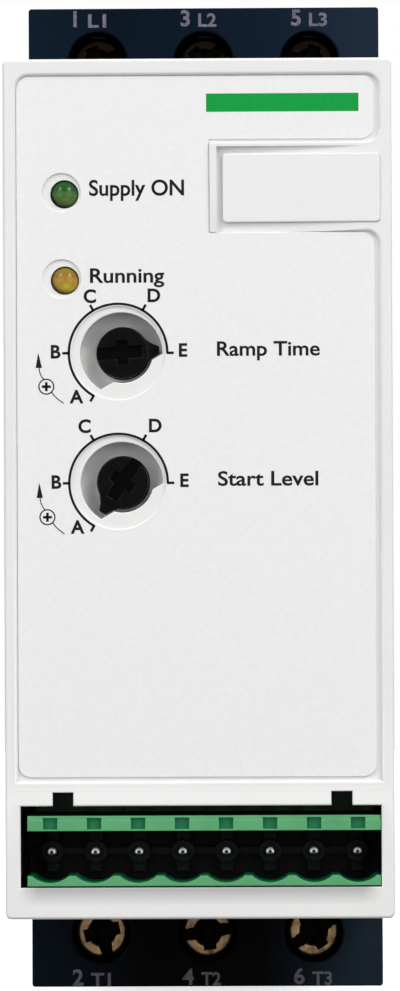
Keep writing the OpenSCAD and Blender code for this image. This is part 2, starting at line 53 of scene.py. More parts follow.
BODY_OF = {n: b for b, ns in frame["record"]["behaviour"]["bodies"].items() for n in ns}


def P(x, d, z):
    """A point from the width x, the depth d in front of the mounting plane and the height z, in millimetres."""
    return Vector((x, -d, z))


# ---------------------------------------------------------------- materials
class Mat:
    """A material with one Principled shader and a few helpers for its node tree. Sizes are in millimetres."""

    def __init__(self, name, color, rough, metallic=0.0, **sockets):
        self.m = bpy.data.materials.new(name)
        self.m.use_nodes = True
        self.t = self.m.node_tree
        self.t.nodes.clear()
        self.out = self.t.nodes.new("ShaderNodeOutputMaterial")
        self.b = self.t.nodes.new("ShaderNodeBsdfPrincipled")
        self.t.links.new(self.b.outputs[0], self.out.inputs[0])
        self.b.inputs["Base Color"].default_value = (*color, 1)
        self.b.inputs["Roughness"].default_value = rough
        self.b.inputs["Metallic"].default_value = metallic
        for k, v in sockets.items():
            self.b.inputs[k.replace("_", " ")].default_value = v
        self.coord = self.t.nodes.new("ShaderNodeTexCoord").outputs["Object"]
        self.color = color
        self.normal = None

    def node(self, kind, **props):
        n = self.t.nodes.new(kind)
        for k, v in props.items():
            setattr(n, k, v)
        return n

    def stretch(self, sx, sy, sz):
        n = self.node("ShaderNodeMapping")
        n.inputs["Scale"].default_value = (sx, sy, sz)
        self.t.links.new(self.coord, n.inputs["Vector"])
        return n.outputs[0]

    def noise(self, size_mm, detail=3.0, rough=0.5, vec=None):
        n = self.node("ShaderNodeTexNoise")
        n.inputs["Scale"].default_value = 1000.0 / size_mm
        n.inputs["Detail"].default_value = detail
        n.inputs["Roughness"].default_value = rough
        self.t.links.new(vec or self.coord, n.inputs["Vector"])
        return n.outputs["Fac"]

    def voronoi(self, size_mm, vec=None, feature="F1"):
        n = self.node("ShaderNodeTexVoronoi", feature=feature)
        n.inputs["Scale"].default_value = 1000.0 / size_mm
        self.t.links.new(vec or self.coord, n.inputs["Vector"])
        return n.outputs["Distance"]

    def ramp(self, fac, stops):
        n = self.node("ShaderNodeValToRGB")
        el = n.color_ramp.elements
        while len(el) < len(stops):
            el.new(0.5)
        for e, (pos, col) in zip(el, stops):
            e.position = pos
            e.color = (*col, 1) if len(col) == 3 else col
        self.t.links.new(fac, n.inputs[0])
        return n.outputs[0]

    def mix(self, fac, a, b, mode="MIX"):
        n = self.node("ShaderNodeMix", data_type="RGBA", blend_type=mode)
        for i, v in ((0, fac), (6, a), (7, b)):
            if hasattr(v, "is_linked"):
                self.t.links.new(v, n.inputs[i])
            elif i == 0:
                n.inputs[i].default_value = v
            else:
                n.inputs[i].default_value = (*v, 1)
        return n.outputs[2]

    def span(self, fac, lo, hi, a=0.3, b=0.7):
        n = self.node("ShaderNodeMapRange")
        for i, v in ((1, a), (2, b), (3, lo), (4, hi)):
            n.inputs[i].default_value = v
        self.t.links.new(fac, n.inputs[0])
        return n.outputs[0]

    def axis(self, which, factor=1000.0):
        """One coordinate of the piece in millimetres; the depth is axis("Y", -1000)."""
        part = self.node("ShaderNodeSeparateXYZ")
        self.t.links.new(self.coord, part.inputs[0])
        n = self.node("ShaderNodeMath", operation="MULTIPLY")
        n.inputs[1].default_value = factor
        self.t.links.new(part.outputs[which], n.inputs[0])
        return n.outputs[0]

    def math(self, op, a, b=None):
        n = self.node("ShaderNodeMath", operation=op)
        for i, v in ((0, a), (1, b)):
            if hasattr(v, "is_linked"):
                self.t.links.new(v, n.inputs[i])
            elif v is not None:
                n.inputs[i].default_value = v
        return n.outputs[0]

    def paint(self, sock):
        self.t.links.new(sock, self.b.inputs["Base Color"])
        return self

    def gloss(self, sock):
        self.t.links.new(sock, self.b.inputs["Roughness"])
        return self

    def bump(self, height, depth_mm, strength=1.0):
        n = self.node("ShaderNodeBump")
        n.inputs["Strength"].default_value = strength
        n.inputs["Distance"].default_value = depth_mm * MM
        self.t.links.new(height, n.inputs["Height"])
        if self.normal is not None:
            self.t.links.new(self.normal, n.inputs["Normal"])
        self.normal = n.outputs[0]
        self.t.links.new(self.normal, self.b.inputs["Normal"])
        return self

    def vary(self, size_mm, amount, tint=(1, 1, 1)):
        """Slow variation of the colour, darker in places by amount."""
        c = self.color
        lo = tuple(v * (1 - amount) * t for v, t in zip(c, tint))
        hi = tuple(min(1, v * (1 + amount)) for v in c)
        return self.paint(self.ramp(self.noise(size_mm, 4.0), [(0.3, lo), (0.7, hi)]))

    def uneven(self, size_mm, lo, hi):
        return self.gloss(self.span(self.noise(size_mm, 3.0), lo, hi))


def plastic(name, color, rough=(0.42, 0.55), grain=(0.22, 0.010), cloud=(14, 0.02), **sockets):
    m = Mat(name, color, sum(rough) / 2, **sockets)
    m.vary(*cloud)
    m.uneven(cloud[0] * 0.4, *rough)
    m.bump(m.noise(grain[0], 2.0), grain[1], 0.6)
    return m


def metal(name, color, rough=(0.25, 0.4), cloud=(3, 0.08), grain=(0.12, 0.004), brush=None, **sockets):
    m = Mat(name, color, sum(rough) / 2, 1.0, **sockets)
    m.vary(*cloud)
    m.uneven(cloud[0] * 0.5, *rough)
    vec = m.stretch(*brush) if brush else None
    m.bump(m.noise(grain[0], 2.0, vec=vec), grain[1], 0.5)
    return m


MATS = {}


def build_materials():
    # light cover: moulded, fine spark-eroded grain, slightly warm
    m = plastic("cover_plastic", (0.80, 0.797, 0.79), (0.40, 0.52), (0.20, 0.012), (16, 0.012), Specular_IOR_Level=0.42)
    # painted shade: the walls of the header opening are painted nearly black behind the front face
    inside = m.math("MULTIPLY", m.math("LESS_THAN", m.math("ABSOLUTE", m.axis("X")), 21.15),
                    m.math("MULTIPLY", m.math("LESS_THAN", m.axis("Z"), -34.9), m.math("GREATER_THAN", m.axis("Z"), -46.3)))
    recess_shade = m.math("MULTIPLY", inside, m.span(m.axis("Y", -1000.0), 1.0, 0.0, 129.7, 130.3))
    lit = m.ramp(m.noise(16, 4.0), [(0.3, (0.792, 0.788, 0.780)), (0.7, (0.812, 0.808, 0.800))])
    # painted shadow: a grey shade on the face just below the header opening, fading downwards and towards its ends
    shadow_below_opening = m.math("MULTIPLY", m.span(m.math("ABSOLUTE", m.axis("X")), 1.0, 0.0, 18.8, 21.0),
                   m.math("MULTIPLY", m.span(m.axis("Z"), 0.0, 1.0, -48.2, -46.2), m.math("LESS_THAN", m.axis("Z"), -45.9)))
    with_shadow_below = m.mix(m.math("MULTIPLY", shadow_below_opening, 0.92), lit, (0.40, 0.40, 0.40))
    m.paint(m.mix(recess_shade, with_shadow_below, (0.004, 0.004, 0.004)))
    MATS["cover_plastic"] = m
    # label film: orange peel with a slow mottling
    m = Mat("label_film", (0.80, 0.80, 0.795), 0.42, Specular_IOR_Level=0.4)
    m.paint(m.ramp(m.noise(0.55, 3.0, 0.6), [(0.30, (0.812, 0.812, 0.807)), (0.70, (0.850, 0.850, 0.845))]))
    m.uneven(0.9, 0.38, 0.50)
    m.bump(m.noise(0.45, 2.5), 0.010, 0.5)
    m.bump(m.noise(0.26, 2.0), 0.006, 0.5)
    MATS["label_film"] = m
    MATS["marker_plastic"] = plastic("marker_plastic", (0.82, 0.82, 0.815), (0.32, 0.42), (0.35, 0.005), (10, 0.008), Specular_IOR_Level=0.45)
    # dark base: blue-grey, satin grain
    m = Mat("base_plastic", (0.0044, 0.0105, 0.0210), 0.55, Specular_IOR_Level=0.045)
    plain_tone = m.ramp(m.noise(12, 4.0), [(0.30, (0.0024, 0.0070, 0.0152)), (0.70, (0.0036, 0.0102, 0.0216))])
    # painted light and shade on the terminal faces: darkest towards the middle, lightest at the right end, and darker
    # on the lower face than on the upper
    across = m.span(m.axis("X"), 0.0, 1.0, -22.0, 22.0)
    upper_painted_light = m.ramp(across, [(0.0, (0.0027, 0.0104, 0.0216)), (0.25, (0.0009, 0.0062, 0.0148)), (0.42, (0.0012, 0.0070, 0.0164)), (0.70, (0.0034, 0.0104, 0.0232)), (0.95, (0.0104, 0.0204, 0.0390))])
    lower_painted_light = m.ramp(across, [(0.0, (0.0026, 0.0064, 0.0120)), (0.20, (0.0018, 0.0038, 0.0074)), (0.33, (0.0004, 0.0005, 0.0007)), (0.66, (0.0006, 0.0009, 0.0015)), (0.95, (0.0120, 0.0215, 0.0340))])
    face = m.mix(m.span(m.axis("Z"), 1.0, 0.0, -54.0, 10.0), upper_painted_light, lower_painted_light)
    face = m.mix(1.0, face, m.ramp(m.noise(12, 4.0), [(0.30, (0.82, 0.82, 0.82)), (0.70, (1.0, 1.0, 1.0))]), "MULTIPLY")
    tone = m.mix(m.span(m.axis("Y", -1000.0), 0.0, 1.0, 69.3, 69.9), plain_tone, face)
    # painted shade: the walls of the screw holes are painted nearly black
    within = m.math("MULTIPLY", m.math("LESS_THAN", m.math("ABSOLUTE", m.axis("X")), 19.5), m.math("LESS_THAN", m.math("ABSOLUTE", m.axis("Z")), 60.5))
    recess_shade = m.math("MULTIPLY", m.span(m.axis("Y", -1000.0), 1.0, 0.0, 69.2, 69.8), m.math("GREATER_THAN", m.axis("Y", -1000.0), 60.0))
    hole = m.math("MULTIPLY", within, recess_shade)
    m.paint(m.mix(hole, tone, (0.0006, 0.0007, 0.0008)))
    m.uneven(5, 0.50, 0.64)
    m.bump(m.voronoi(0.45), 0.010, 0.35)
    m.bump(m.noise(0.18, 2.0), 0.012, 0.6)
    MATS["base_plastic"] = m
    MATS["clip_plastic"] = plastic("clip_plastic", (0.020, 0.022, 0.026), (0.38, 0.52), (0.25, 0.012), (6, 0.12))
    m = plastic("knob_plastic", (0.0028, 0.0030, 0.0042), (0.16, 0.26), (0.16, 0.004), (1.5, 0.25), Specular_IOR_Level=0.14)
    skin = m.ramp(m.noise(1.5, 4.0), [(0.3, (0.0023, 0.0025, 0.0036)), (0.7, (0.0038, 0.0041, 0.0056))])
    # painted shade: the cross recess below the knob's face is painted nearly black
    m.paint(m.mix(m.span(m.axis("Y", -1000.0), 1.0, 0.0, 128.45, 128.90), skin, (0.0009, 0.0010, 0.0012)))
    MATS["knob_plastic"] = m
    # control header
    m = Mat("header_plastic", (0.090, 0.36, 0.145), 0.42, Specular_IOR_Level=0.45)
    plain_tone = m.ramp(m.noise(5, 3.0), [(0.3, (0.086, 0.340, 0.138)), (0.7, (0.108, 0.390, 0.168))])
    # painted shade: faces set back behind the shroud's front turn darker green, and deeper faces above the lower rail's
    # scallops nearly black
    low = m.mix(m.span(m.axis("Y", -1000.0), 1.0, 0.0, 129.80, 130.12), plain_tone, (0.003, 0.190, 0.075))
    interior_shade = m.math("MULTIPLY", m.span(m.axis("Y", -1000.0), 1.0, 0.0, 129.10, 129.65), m.math("GREATER_THAN", m.axis("Z"), -43.9))
    m.paint(m.mix(interior_shade, low, (0.003, 0.010, 0.006)))
    m.uneven(2.2, 0.34, 0.48)
    m.bump(m.noise(0.16, 2.0), 0.008, 0.5)
    MATS["header_plastic"] = m
    m = plastic("carrier_plastic", (0.0046, 0.0060, 0.0055), (0.45, 0.60), (0.18, 0.010), (2, 0.2), Specular_IOR_Level=0.12)
    raised = m.ramp(m.noise(2.0, 4.0), [(0.3, (0.0042, 0.0064, 0.0054)), (0.7, (0.0060, 0.0088, 0.0075))])
    sunk_shade = m.ramp(m.noise(1.5, 3.0), [(0.3, (0.0006, 0.0007, 0.0007)), (0.7, (0.0012, 0.0014, 0.0013))])
    # painted shade: the sunk floor between the bosses is painted darker than the raised bosses
    m.paint(m.mix(m.span(m.axis("Y", -1000.0), 0.0, 1.0, 122.3, 123.0), sunk_shade, raised))
    MATS["carrier_plastic"] = m
    # pins: a painted highlight of bright tin around the upper half of the tip, with a painted dark reflection in its
    # middle and painted shade below
    m = metal("pin_tin", (0.80, 0.80, 0.79), (0.22, 0.34), (0.6, 0.08), (0.08, 0.003))
    m.b.inputs["Metallic"].default_value = 0.35
    dx = m.math("SUBTRACT", m.math("FLOORED_MODULO", m.math("ADD", m.axis("X"), 19.85), 5.08), 2.54)
    dz = m.math("ADD", m.axis("Z"), 42.2)
    away = m.math("SQRT", m.math("ADD", m.math("MULTIPLY", dx, dx), m.math("MULTIPLY", dz, dz)))
    lit = m.math("MULTIPLY", m.span(away, 0.0, 1.0, 0.15, 0.25), m.span(dz, 0.0, 1.0, -0.24, -0.02))
    tin = m.ramp(m.noise(0.6, 4.0), [(0.3, (0.88, 0.88, 0.87)), (0.7, (0.96, 0.96, 0.95))])
    shaded_tin = m.ramp(m.noise(0.4, 3.0), [(0.3, (0.010, 0.011, 0.010)), (0.7, (0.020, 0.021, 0.020))])
    m.paint(m.mix(lit, shaded_tin, tin))
    MATS["pin_tin"] = m
    # lamps: tinted epoxy with painted light: colour that changes with height, a painted bright spot low down where the
    # light that enters above leaves below, and painted shade along the rim towards the lower left
    for key, z, rim, painted_light_spot, shades in (
        ("lamp_green", 34.1, (0.0015, 0.0120, 0.0015), (0.150, 0.270, 0.080), ((0.085, 0.190, 0.030), (0.066, 0.160, 0.030), (0.006, 0.078, 0.008), (0.008, 0.080, 0.012))),
        ("lamp_amber", 24.1, (0.1200, 0.0700, 0.0050), (0.760, 0.610, 0.070), ((0.560, 0.410, 0.036), (0.430, 0.250, 0.028), (0.270, 0.145, 0.010), (0.235, 0.175, 0.014))),
    ):
        m = Mat(key, shades[1], 0.14, Specular_IOR_Level=0.26, Coat_Weight=0.10, Coat_Roughness=0.05)
        off = m.node("ShaderNodeVectorMath", operation="SUBTRACT")
        off.inputs[1].default_value = (-15.08 * MM, 0, (z + 0.36) * MM)
        m.t.links.new(m.coord, off.inputs[0])
        flat = m.node("ShaderNodeVectorMath", operation="MULTIPLY")
        flat.inputs[1].default_value = (1000, 0, 1000)
        m.t.links.new(off.outputs[0], flat.inputs[0])
        length = m.node("ShaderNodeVectorMath", operation="LENGTH")
        m.t.links.new(flat.outputs[0], length.inputs[0])
        part = m.node("ShaderNodeSeparateXYZ")
        m.t.links.new(flat.outputs[0], part.inputs[0])
        wob = m.noise(0.9, 2.0)
        across = m.node("ShaderNodeMath", operation="MULTIPLY_ADD")
        across.inputs[1].default_value = 0.5
        m.t.links.new(wob, across.inputs[0])
        m.t.links.new(part.outputs["Z"], across.inputs[2])
        height = m.span(across.outputs[0], 0.0, 1.0, -1.31, 1.49)
        body = m.ramp(height, [(0.06, shades[0]), (0.36, shades[1]), (0.62, shades[2]), (0.92, shades[3])])
        low = m.node("ShaderNodeVectorMath", operation="ADD")
        low.inputs[1].default_value = (0.10, 0, 1.08)
        m.t.links.new(flat.outputs[0], low.inputs[0])
        wide = m.node("ShaderNodeVectorMath", operation="MULTIPLY")
        wide.inputs[1].default_value = (0.62, 0, 1.0)
        m.t.links.new(low.outputs[0], wide.inputs[0])
        near = m.node("ShaderNodeVectorMath", operation="LENGTH")
        m.t.links.new(wide.outputs[0], near.inputs[0])
        body = m.mix(m.span(near.outputs["Value"], 0.7, 0.0, 0.05, 0.45), body, painted_light_spot)
        m.paint(m.mix(m.span(length.outputs["Value"], 0.0, 1.0, 1.48, 1.84), body, rim))
        m.uneven(0.8, 0.13, 0.18)
        MATS[key] = m
    # clamp screws and cages
    m = Mat("screw_bronze", (0.34, 0.23, 0.12), 0.38, 1.0)
    face = m.ramp(m.noise(1.3, 4.0), [(0.30, (0.26, 0.15, 0.10)), (0.50, (0.66, 0.43, 0.22)), (0.74, (0.82, 0.61, 0.36))])
    # painted shade: the upper row of heads is painted nearly black, and on every head the recess and the sides below
    # its face too
    wear_and_shade = m.mix(m.span(m.axis("Z"), 0.0, 1.0, -5.0, 5.0), face, (0.020, 0.012, 0.010))
    m.paint(m.mix(m.span(m.axis("Y", -1000.0), 1.0, 0.0, 65.95, 66.28), wear_and_shade, (0.006, 0.005, 0.004)))
    m.uneven(0.7, 0.40, 0.58)
    m.bump(m.noise(0.25, 3.0), 0.010, 0.5)
    MATS["screw_bronze"] = m
    m = metal("cage_steel", (0.56, 0.56, 0.53), (0.30, 0.45), (2.0, 0.10), (0.10, 0.006))
    zinc = m.ramp(m.noise(2.0, 4.0), [(0.3, (0.50, 0.50, 0.47)), (0.7, (0.61, 0.61, 0.58))])
    # painted shade: the front of each cage, seen through the screw hole, is painted nearly black
    m.paint(m.mix(m.span(m.axis("Y", -1000.0), 0.0, 1.0, 58.9, 59.4), zinc, (0.010, 0.010, 0.010)))
    MATS["cage_steel"] = m
    m = Mat("busbar_copper", (0.62, 0.29, 0.16), 0.34, 1.0)
    m.paint(m.ramp(m.noise(4, 5.0), [(0.3, (0.46, 0.20, 0.11)), (0.55, (0.64, 0.31, 0.18)), (0.75, (0.72, 0.40, 0.25))]))
    m.uneven(2, 0.26, 0.42)
    m.bump(m.noise(0.2, 2.0, vec=m.stretch(1, 1, 0.06)), 0.004, 0.5)
    MATS["busbar_copper"] = m
    MATS["fastener_steel"] = metal("fastener_steel", (0.55, 0.55, 0.52), (0.25, 0.42), (1.2, 0.10))
    MATS["spring_steel"] = metal("spring_steel", (0.42, 0.42, 0.43), (0.22, 0.36), (1.0, 0.12))
    MATS["spacer_brass"] = metal("spacer_brass", (0.62, 0.46, 0.20), (0.24, 0.38), (2.0, 0.08), (0.1, 0.004), (1, 12, 1))
    MATS["heatsink_aluminium"] = metal("heatsink_aluminium", (0.62, 0.63, 0.65), (0.32, 0.48), (6, 0.06), (0.25, 0.010), (1, 1, 0.04))
    MATS["thermal_pad"] = plastic("thermal_pad", (0.46, 0.44, 0.37), (0.6, 0.75), (0.3, 0.015), (4, 0.06))
    MATS["module_plastic"] = plastic("module_plastic", (0.012, 0.012, 0.013), (0.42, 0.56), (0.2, 0.012), (5, 0.15))
    MATS["relay_plastic"] = plastic("relay_plastic", (0.018, 0.020, 0.027), (0.35, 0.48), (0.25, 0.008), (6, 0.12))
    # boards: solder mask over tracks that run along the board
    m = Mat("board_laminate", (0.012, 0.075, 0.026), 0.32, Specular_IOR_Level=0.5)
    w = m.node("ShaderNodeTexWave", wave_type="BANDS", bands_direction="X", wave_profile="SAW")
    w.inputs["Scale"].default_value = 90
    w.inputs["Distortion"].default_value = 0.6
    m.t.links.new(m.coord, w.inputs["Vector"])
    tr = m.ramp(w.outputs["Fac"], [(0.46, (0, 0, 0)), (0.50, (1, 1, 1))])
    m.paint(m.mix(tr, (0.008, 0.055, 0.019), (0.016, 0.095, 0.033)))
    m.uneven(2, 0.26, 0.40)
    m.bump(tr, 0.02, 0.4)
    MATS["board_laminate"] = m
    # laminated core: sheets stacked along the depth
    m = Mat("core_iron", (0.11, 0.11, 0.115), 0.45, 0.8)
    w = m.node("ShaderNodeTexWave", wave_type="BANDS", bands_direction="Y", wave_profile="SAW")
    w.inputs["Scale"].default_value = 320
    m.t.links.new(m.coord, w.inputs["Vector"])
    m.paint(m.ramp(m.noise(3, 4.0), [(0.3, (0.07, 0.065, 0.06)), (0.7, (0.15, 0.15, 0.155))]))
    m.uneven(2, 0.38, 0.55)
    m.bump(w.outputs["Fac"], 0.05, 0.6)
    MATS["core_iron"] = m
    m = plastic("coil_tape", (0.50, 0.33, 0.055), (0.22, 0.36), (0.5, 0.01), (4, 0.10))
    MATS["coil_tape"] = m
    MATS["capacitor_sleeve"] = plastic("capacitor_sleeve", (0.006, 0.010, 0.035), (0.16, 0.28), (0.6, 0.006), (4, 0.10))
    MATS["varistor_coat"] = plastic("varistor_coat", (0.020, 0.075, 0.30), (0.30, 0.45), (0.5, 0.020), (2, 0.12))
    # flat cable: parallel wires
    m = Mat("ribbon_sheath", (0.30, 0.30, 0.34), 0.5)
    w = m.node("ShaderNodeTexWave", wave_type="BANDS", bands_direction="Z", wave_profile="SIN")
    w.inputs["Scale"].default_value = 125
    m.t.links.new(m.coord, w.inputs["Vector"])
    m.paint(m.ramp(w.outputs["Fac"], [(0.1, (0.20, 0.20, 0.23)), (0.6, (0.34, 0.34, 0.38))]))
    m.uneven(2, 0.42, 0.58)
    m.bump(w.outputs["Fac"], 0.25, 0.6)
    MATS["ribbon_sheath"] = m
    MATS["trimmer_plastic"] = plastic("trimmer_plastic", (0.018, 0.055, 0.20), (0.32, 0.45), (0.2, 0.008), (3, 0.10))
    # inks: a little uneven where they lie on the film
    m = Mat("ink_black", (0.006, 0.006, 0.007), 0.5, Specular_IOR_Level=0.2)
    m.paint(m.ramp(m.noise(0.35, 3.0), [(0.3, (0.004, 0.004, 0.005)), (0.75, (0.010, 0.010, 0.011))]))
    m.uneven(0.8, 0.38, 0.52)
    m.bump(m.noise(0.26, 2.0), 0.004, 0.4)
    MATS["ink_black"] = m
    m = Mat("ink_green", (0.002, 0.315, 0.050), 0.45, Specular_IOR_Level=0.2)
    m.paint(m.ramp(m.noise(0.5, 3.0), [(0.3, (0.0015, 0.305, 0.046)), (0.7, (0.0025, 0.330, 0.055))]))
    m.uneven(0.9, 0.36, 0.48)
    m.bump(m.noise(0.45, 2.5), 0.008, 0.5)
    MATS["ink_green"] = m
    m = Mat("ink_mauve", (0.16, 0.14, 0.19), 0.5)
    wear_and_shade = m.ramp(m.noise(0.30, 4.0, 0.7), [(0.32, (0.050, 0.047, 0.072)), (0.62, (0.160, 0.143, 0.186))])
    # painted shade: the marks on the lower terminal face are painted darker
    m.paint(m.mix(m.span(m.axis("Z"), 0.30, 0.0, -30.0, 30.0), wear_and_shade, (0.010, 0.012, 0.016)))
    m.uneven(0.5, 0.42, 0.6)
    MATS["ink_mauve"] = m


build_materials()


# ---------------------------------------------------------------- meshes
def place(name, bm, material, body, stands_for=(), smooth=32.0, weighted=True):
    """Turn a mesh in millimetres into a piece of the object."""
    bm.normal_update()
    for f in bm.faces:
        f.smooth = True
    for e in bm.edges:
        e.smooth = len(e.link_faces) == 2 and e.calc_face_angle(0.0) < math.radians(smooth)
    bmesh.ops.scale(bm, vec=(MM, MM, MM), verts=bm.verts)
    me = bpy.data.meshes.new(name)
    bm.to_mesh(me)
    bm.free()
    ob = bpy.data.objects.new(name, me)
    scene.collection.objects.link(ob)
    me.materials.append(material.m)
    if weighted:
        w = ob.modifiers.new("flat_faces", "WEIGHTED_NORMAL")
        w.keep_sharp = True
        w.weight = 80
    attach(ob, body)
    if stands_for:
        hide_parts(*stands_for)
    return ob


def X(x):
    return (x, 0, 0), (1, 0, 0)


def D(d):
    return (0, -d, 0), (0, 1, 0)


def Z(z):
    return (0, 0, z), (0, 0, 1)


def turned(x, z, deg):
    """Two planes along the front-to-back axis at (x, z), one across and one along the direction deg."""
    a = math.radians(deg)
    return [((x, 0, z), (math.cos(a), 0, math.sin(a))), ((x, 0, z), (-math.sin(a), 0, math.cos(a)))]


def node_bm(node, cuts=()):
    """A node's mesh in millimetres, with its flat faces merged. A cut across each hole keeps every face free of holes."""
    bm = bmesh.new()
    bm.from_mesh(NODES[node].data)
    bmesh.ops.scale(bm, vec=(1000, 1000, 1000), verts=bm.verts)
    bmesh.ops.remove_doubles(bm, verts=bm.verts, dist=0.0015)
    for e in bm.edges:
        e.seam = False
    for co, no in cuts:
        cut = bmesh.ops.bisect_plane(bm, geom=bm.verts[:] + bm.edges[:] + bm.faces[:], dist=0.0005, plane_co=co, plane_no=no)
        for g in cut["geom_cut"]:
            if isinstance(g, bmesh.types.BMEdge):
                g.seam = True
    bmesh.ops.dissolve_limit(bm, angle_limit=math.radians(0.15), verts=bm.verts, edges=bm.edges, delimit={"SEAM"})
    return bm


class E:
    """An edge's facts in millimetres for choosing which edges a pass rounds."""

    def __init__(self, e):
        a, b = e.verts[0].co, e.verts[1].co
        self.a, self.b = a, b
        self.x, self.d, self.z = (a.x + b.x) / 2, -(a.y + b.y) / 2, (a.z + b.z) / 2
        self.dmin = min(-a.y, -b.y)
        self.dmax = max(-a.y, -b.y)
        self.len = (a - b).length


def round_edges(bm, choose, width, segments=3, angle=24.0, clamp=False):
    picked = [e for e in bm.edges if len(e.link_faces) == 2 and e.calc_face_angle(0) > math.radians(angle) and choose(E(e))]
    if picked:
        bmesh.ops.bevel(bm, geom=picked, offset=width, offset_type="OFFSET", segments=segments, profile=0.5,
                        affect="EDGES", clamp_overlap=clamp, loop_slide=True, miter_outer="SHARP", miter_inner="SHARP")
    return len(picked)


def folded(bm):
    """How many flat faces overlap themselves."""
    n = 0
    loops = bm.calc_loop_triangles()
    area = {}
    for t in loops:
        f = t[0].face
        a, b, c = (l.vert.co for l in t)
        area[f] = area.get(f, 0.0) + (b - a).cross(c - a).length / 2
    for f in bm.faces:
        if len(f.verts) > 4:
            vs = [v.co for v in f.verts]
            newell = Vector((0, 0, 0))
            for i in range(len(vs)):
                newell += (vs[i] - vs[0]).cross(vs[(i + 1) % len(vs)] - vs[0])
            if abs(newell.length / 2 - area.get(f, 0.0)) > 1e-3:
                n += 1
    return n


def rebuilt(node, passes, cuts=(), material=None, smooth=32.0):
    bm = node_bm(node, cuts)
    counts = [round_edges(bm, *p) for p in passes]
    bmesh.ops.recalc_face_normals(bm, faces=bm.faces)
    odd = sum(len(e.link_faces) != 2 for e in bm.edges)
    print("mesh", node, "edges rounded", counts, "faces", len(bm.faces), "open edges", odd, "folded", folded(bm))
    slot = next(s["material_slot"] for s in frame["record"]["subparts"] if s["node"] == node)
    return place(node + "_shell", bm, material or MATS[slot], BODY_OF[node], (node,), smooth)


ANY = lambda e: True


PINS = [-17.31 + 5.08 * i for i in range(8)]
POLES = {"l1": (-13.45, 55.3, 24), "l2": (0.0, 55.3, 40), "l3": (13.45, 55.3, -18), "t1": (-13.45, -55.3, 104), "t2": (0.0, -55.3, 8), "t3": (13.45, -55.3, 33)}


def front_pieces():
    # cover: round outer edges, soft pocket rim, small rounding at the openings
    side = lambda p: abs(p.x) > 21.6 or abs(p.z) > 49.0
    rim = lambda e: e.dmin > 130.1 and side(e.a) and side(e.b) and (abs(e.x) > 21.6 or abs(e.z) > 49.0)
    ridge = lambda e: e.dmin > 130.1 and e.dmax < 130.25 and (abs(e.x - 1.41) < 0.05 and 31.0 < e.z < 40.1 or 39.8 < e.z < 41.3 and 1.3 < e.x < 21.1)
    by_marker = lambda e: 1.3 < e.x < 19.4 and 29.0 < e.z < 40.2 or 2.0 < e.x < 21.3 and 30.4 < e.z < 39.0 or ridge(e)
    pocket = lambda e: e.dmin > 130.1 and e.dmax < 130.25 and -34.2 < e.z < 48.2 and abs(e.x) < 21.4 and not by_marker(e)
    mouth = lambda e: e.dmin > 130.25 and -46.5 < e.z < -34.8 and abs(e.x) < 21.5
    wells = lambda e: 129.6 < e.dmin and e.dmax < 129.8 and -16 < e.x < -3 and -6 < e.z < 21.5
    rear = lambda e: e.dmax < 70.1 and e.dmin > 69.9 and side(e.a) and side(e.b) and (abs(e.x) > 21.6 or abs(e.z) > 49.0)
    vents = lambda e: abs(e.z) > 49.7 and 77 < e.d < 118 and abs(e.x) < 17
    rebuilt("front_cover", [(rim, 0.36, 5, 15.0), (pocket, 0.45, 6), (ridge, 0.12, 3), (mouth, 0.16, 3), (wells, 0.14, 3), (rear, 0.2, 2), (vents, 0.2, 2)],
            [Z(15.6), Z(0.6), Z(34.1), Z(24.1), Z(-42.2), D(86.5), D(108.5)])
    rebuilt("front_label", [(lambda e: e.dmin > 129.85, 0.08, 3)], [Z(15.67), Z(0.67), Z(34.3), Z(24.3)])
    rebuilt("marker_plate", [(lambda e: e.dmin > 129.9, 0.20, 4)])
    for k, z, deg in (("time_knob", 15.75, 4), ("level_knob", 0.75, 236)):
        rebuilt(k, [(lambda e: e.dmin > 128.85, 0.11, 3)], turned(-8.77, z, deg), smooth=40)
    for k in ("led_green", "led_yellow"):
        rebuilt(k, [], smooth=40)
    rebuilt("header_shroud", [(lambda e: e.dmin > 130.0, 0.08, 2)], [X(x) for x in PINS] + [Z(-42.2)])
    rebuilt("pin_carrier", [(lambda e: e.dmin > 123.1, 0.12, 2)], [X(x) for x in PINS] + [Z(-42.2)])
    rebuilt("header_pins", [], smooth=50)


def base_pieces():
    side = lambda p: abs(p.x) > 21.4 or abs(p.z) > 61.2
    outer = lambda e: (abs(e.x) > 21.4 or abs(e.z) > 61.2) and e.dmin > 69.9 and side(e.a) and side(e.b)
    holes = lambda e: e.dmin > 69.9 and 50.9 < abs(e.z) < 60
    vents = lambda e: (abs(e.z) > 61.9 or abs(e.x) > 22.1) and 10 < e.d < 68
    back = lambda e: e.dmax < 0.1 and e.dmin > -0.1
    rebuilt("base_housing", [(outer, 0.25, 3), (holes, 0.30, 4), (vents, 0.22, 2), (back, 0.25, 2)], [Z(55.3), Z(-55.3), Z(0), D(22.5), D(64.5), D(51)])
    rebuilt("din_clip", [(ANY, 0.16, 2)], [X(0)])
    # the spring stands on the housing and gets a mesh of its own
    spring = rebuilt("clip_spring", [], smooth=60.0)
    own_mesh(spring)
    for k, (x, z, deg) in POLES.items():
        rebuilt("clamp_screw_" + k, [(lambda e: e.dmin > 66.0, 0.10, 2)], turned(x, z, deg), smooth=35)
        rebuilt("clamp_cage_" + k, [(ANY, 0.2, 2)], [X(x), Z(z)])
    rebuilt("heatsink", [(lambda e: abs(e.a.z - e.b.z) > 20, 0.1, 2)], [Z(30), Z(-30)])


def inner_pieces():
    slots = {s["node"]: s["material_slot"] for s in frame["record"]["subparts"]}
    for n, o in NODES.items():
        o.data.materials.clear()
        o.data.materials.append(MATS[slots[n]].m)


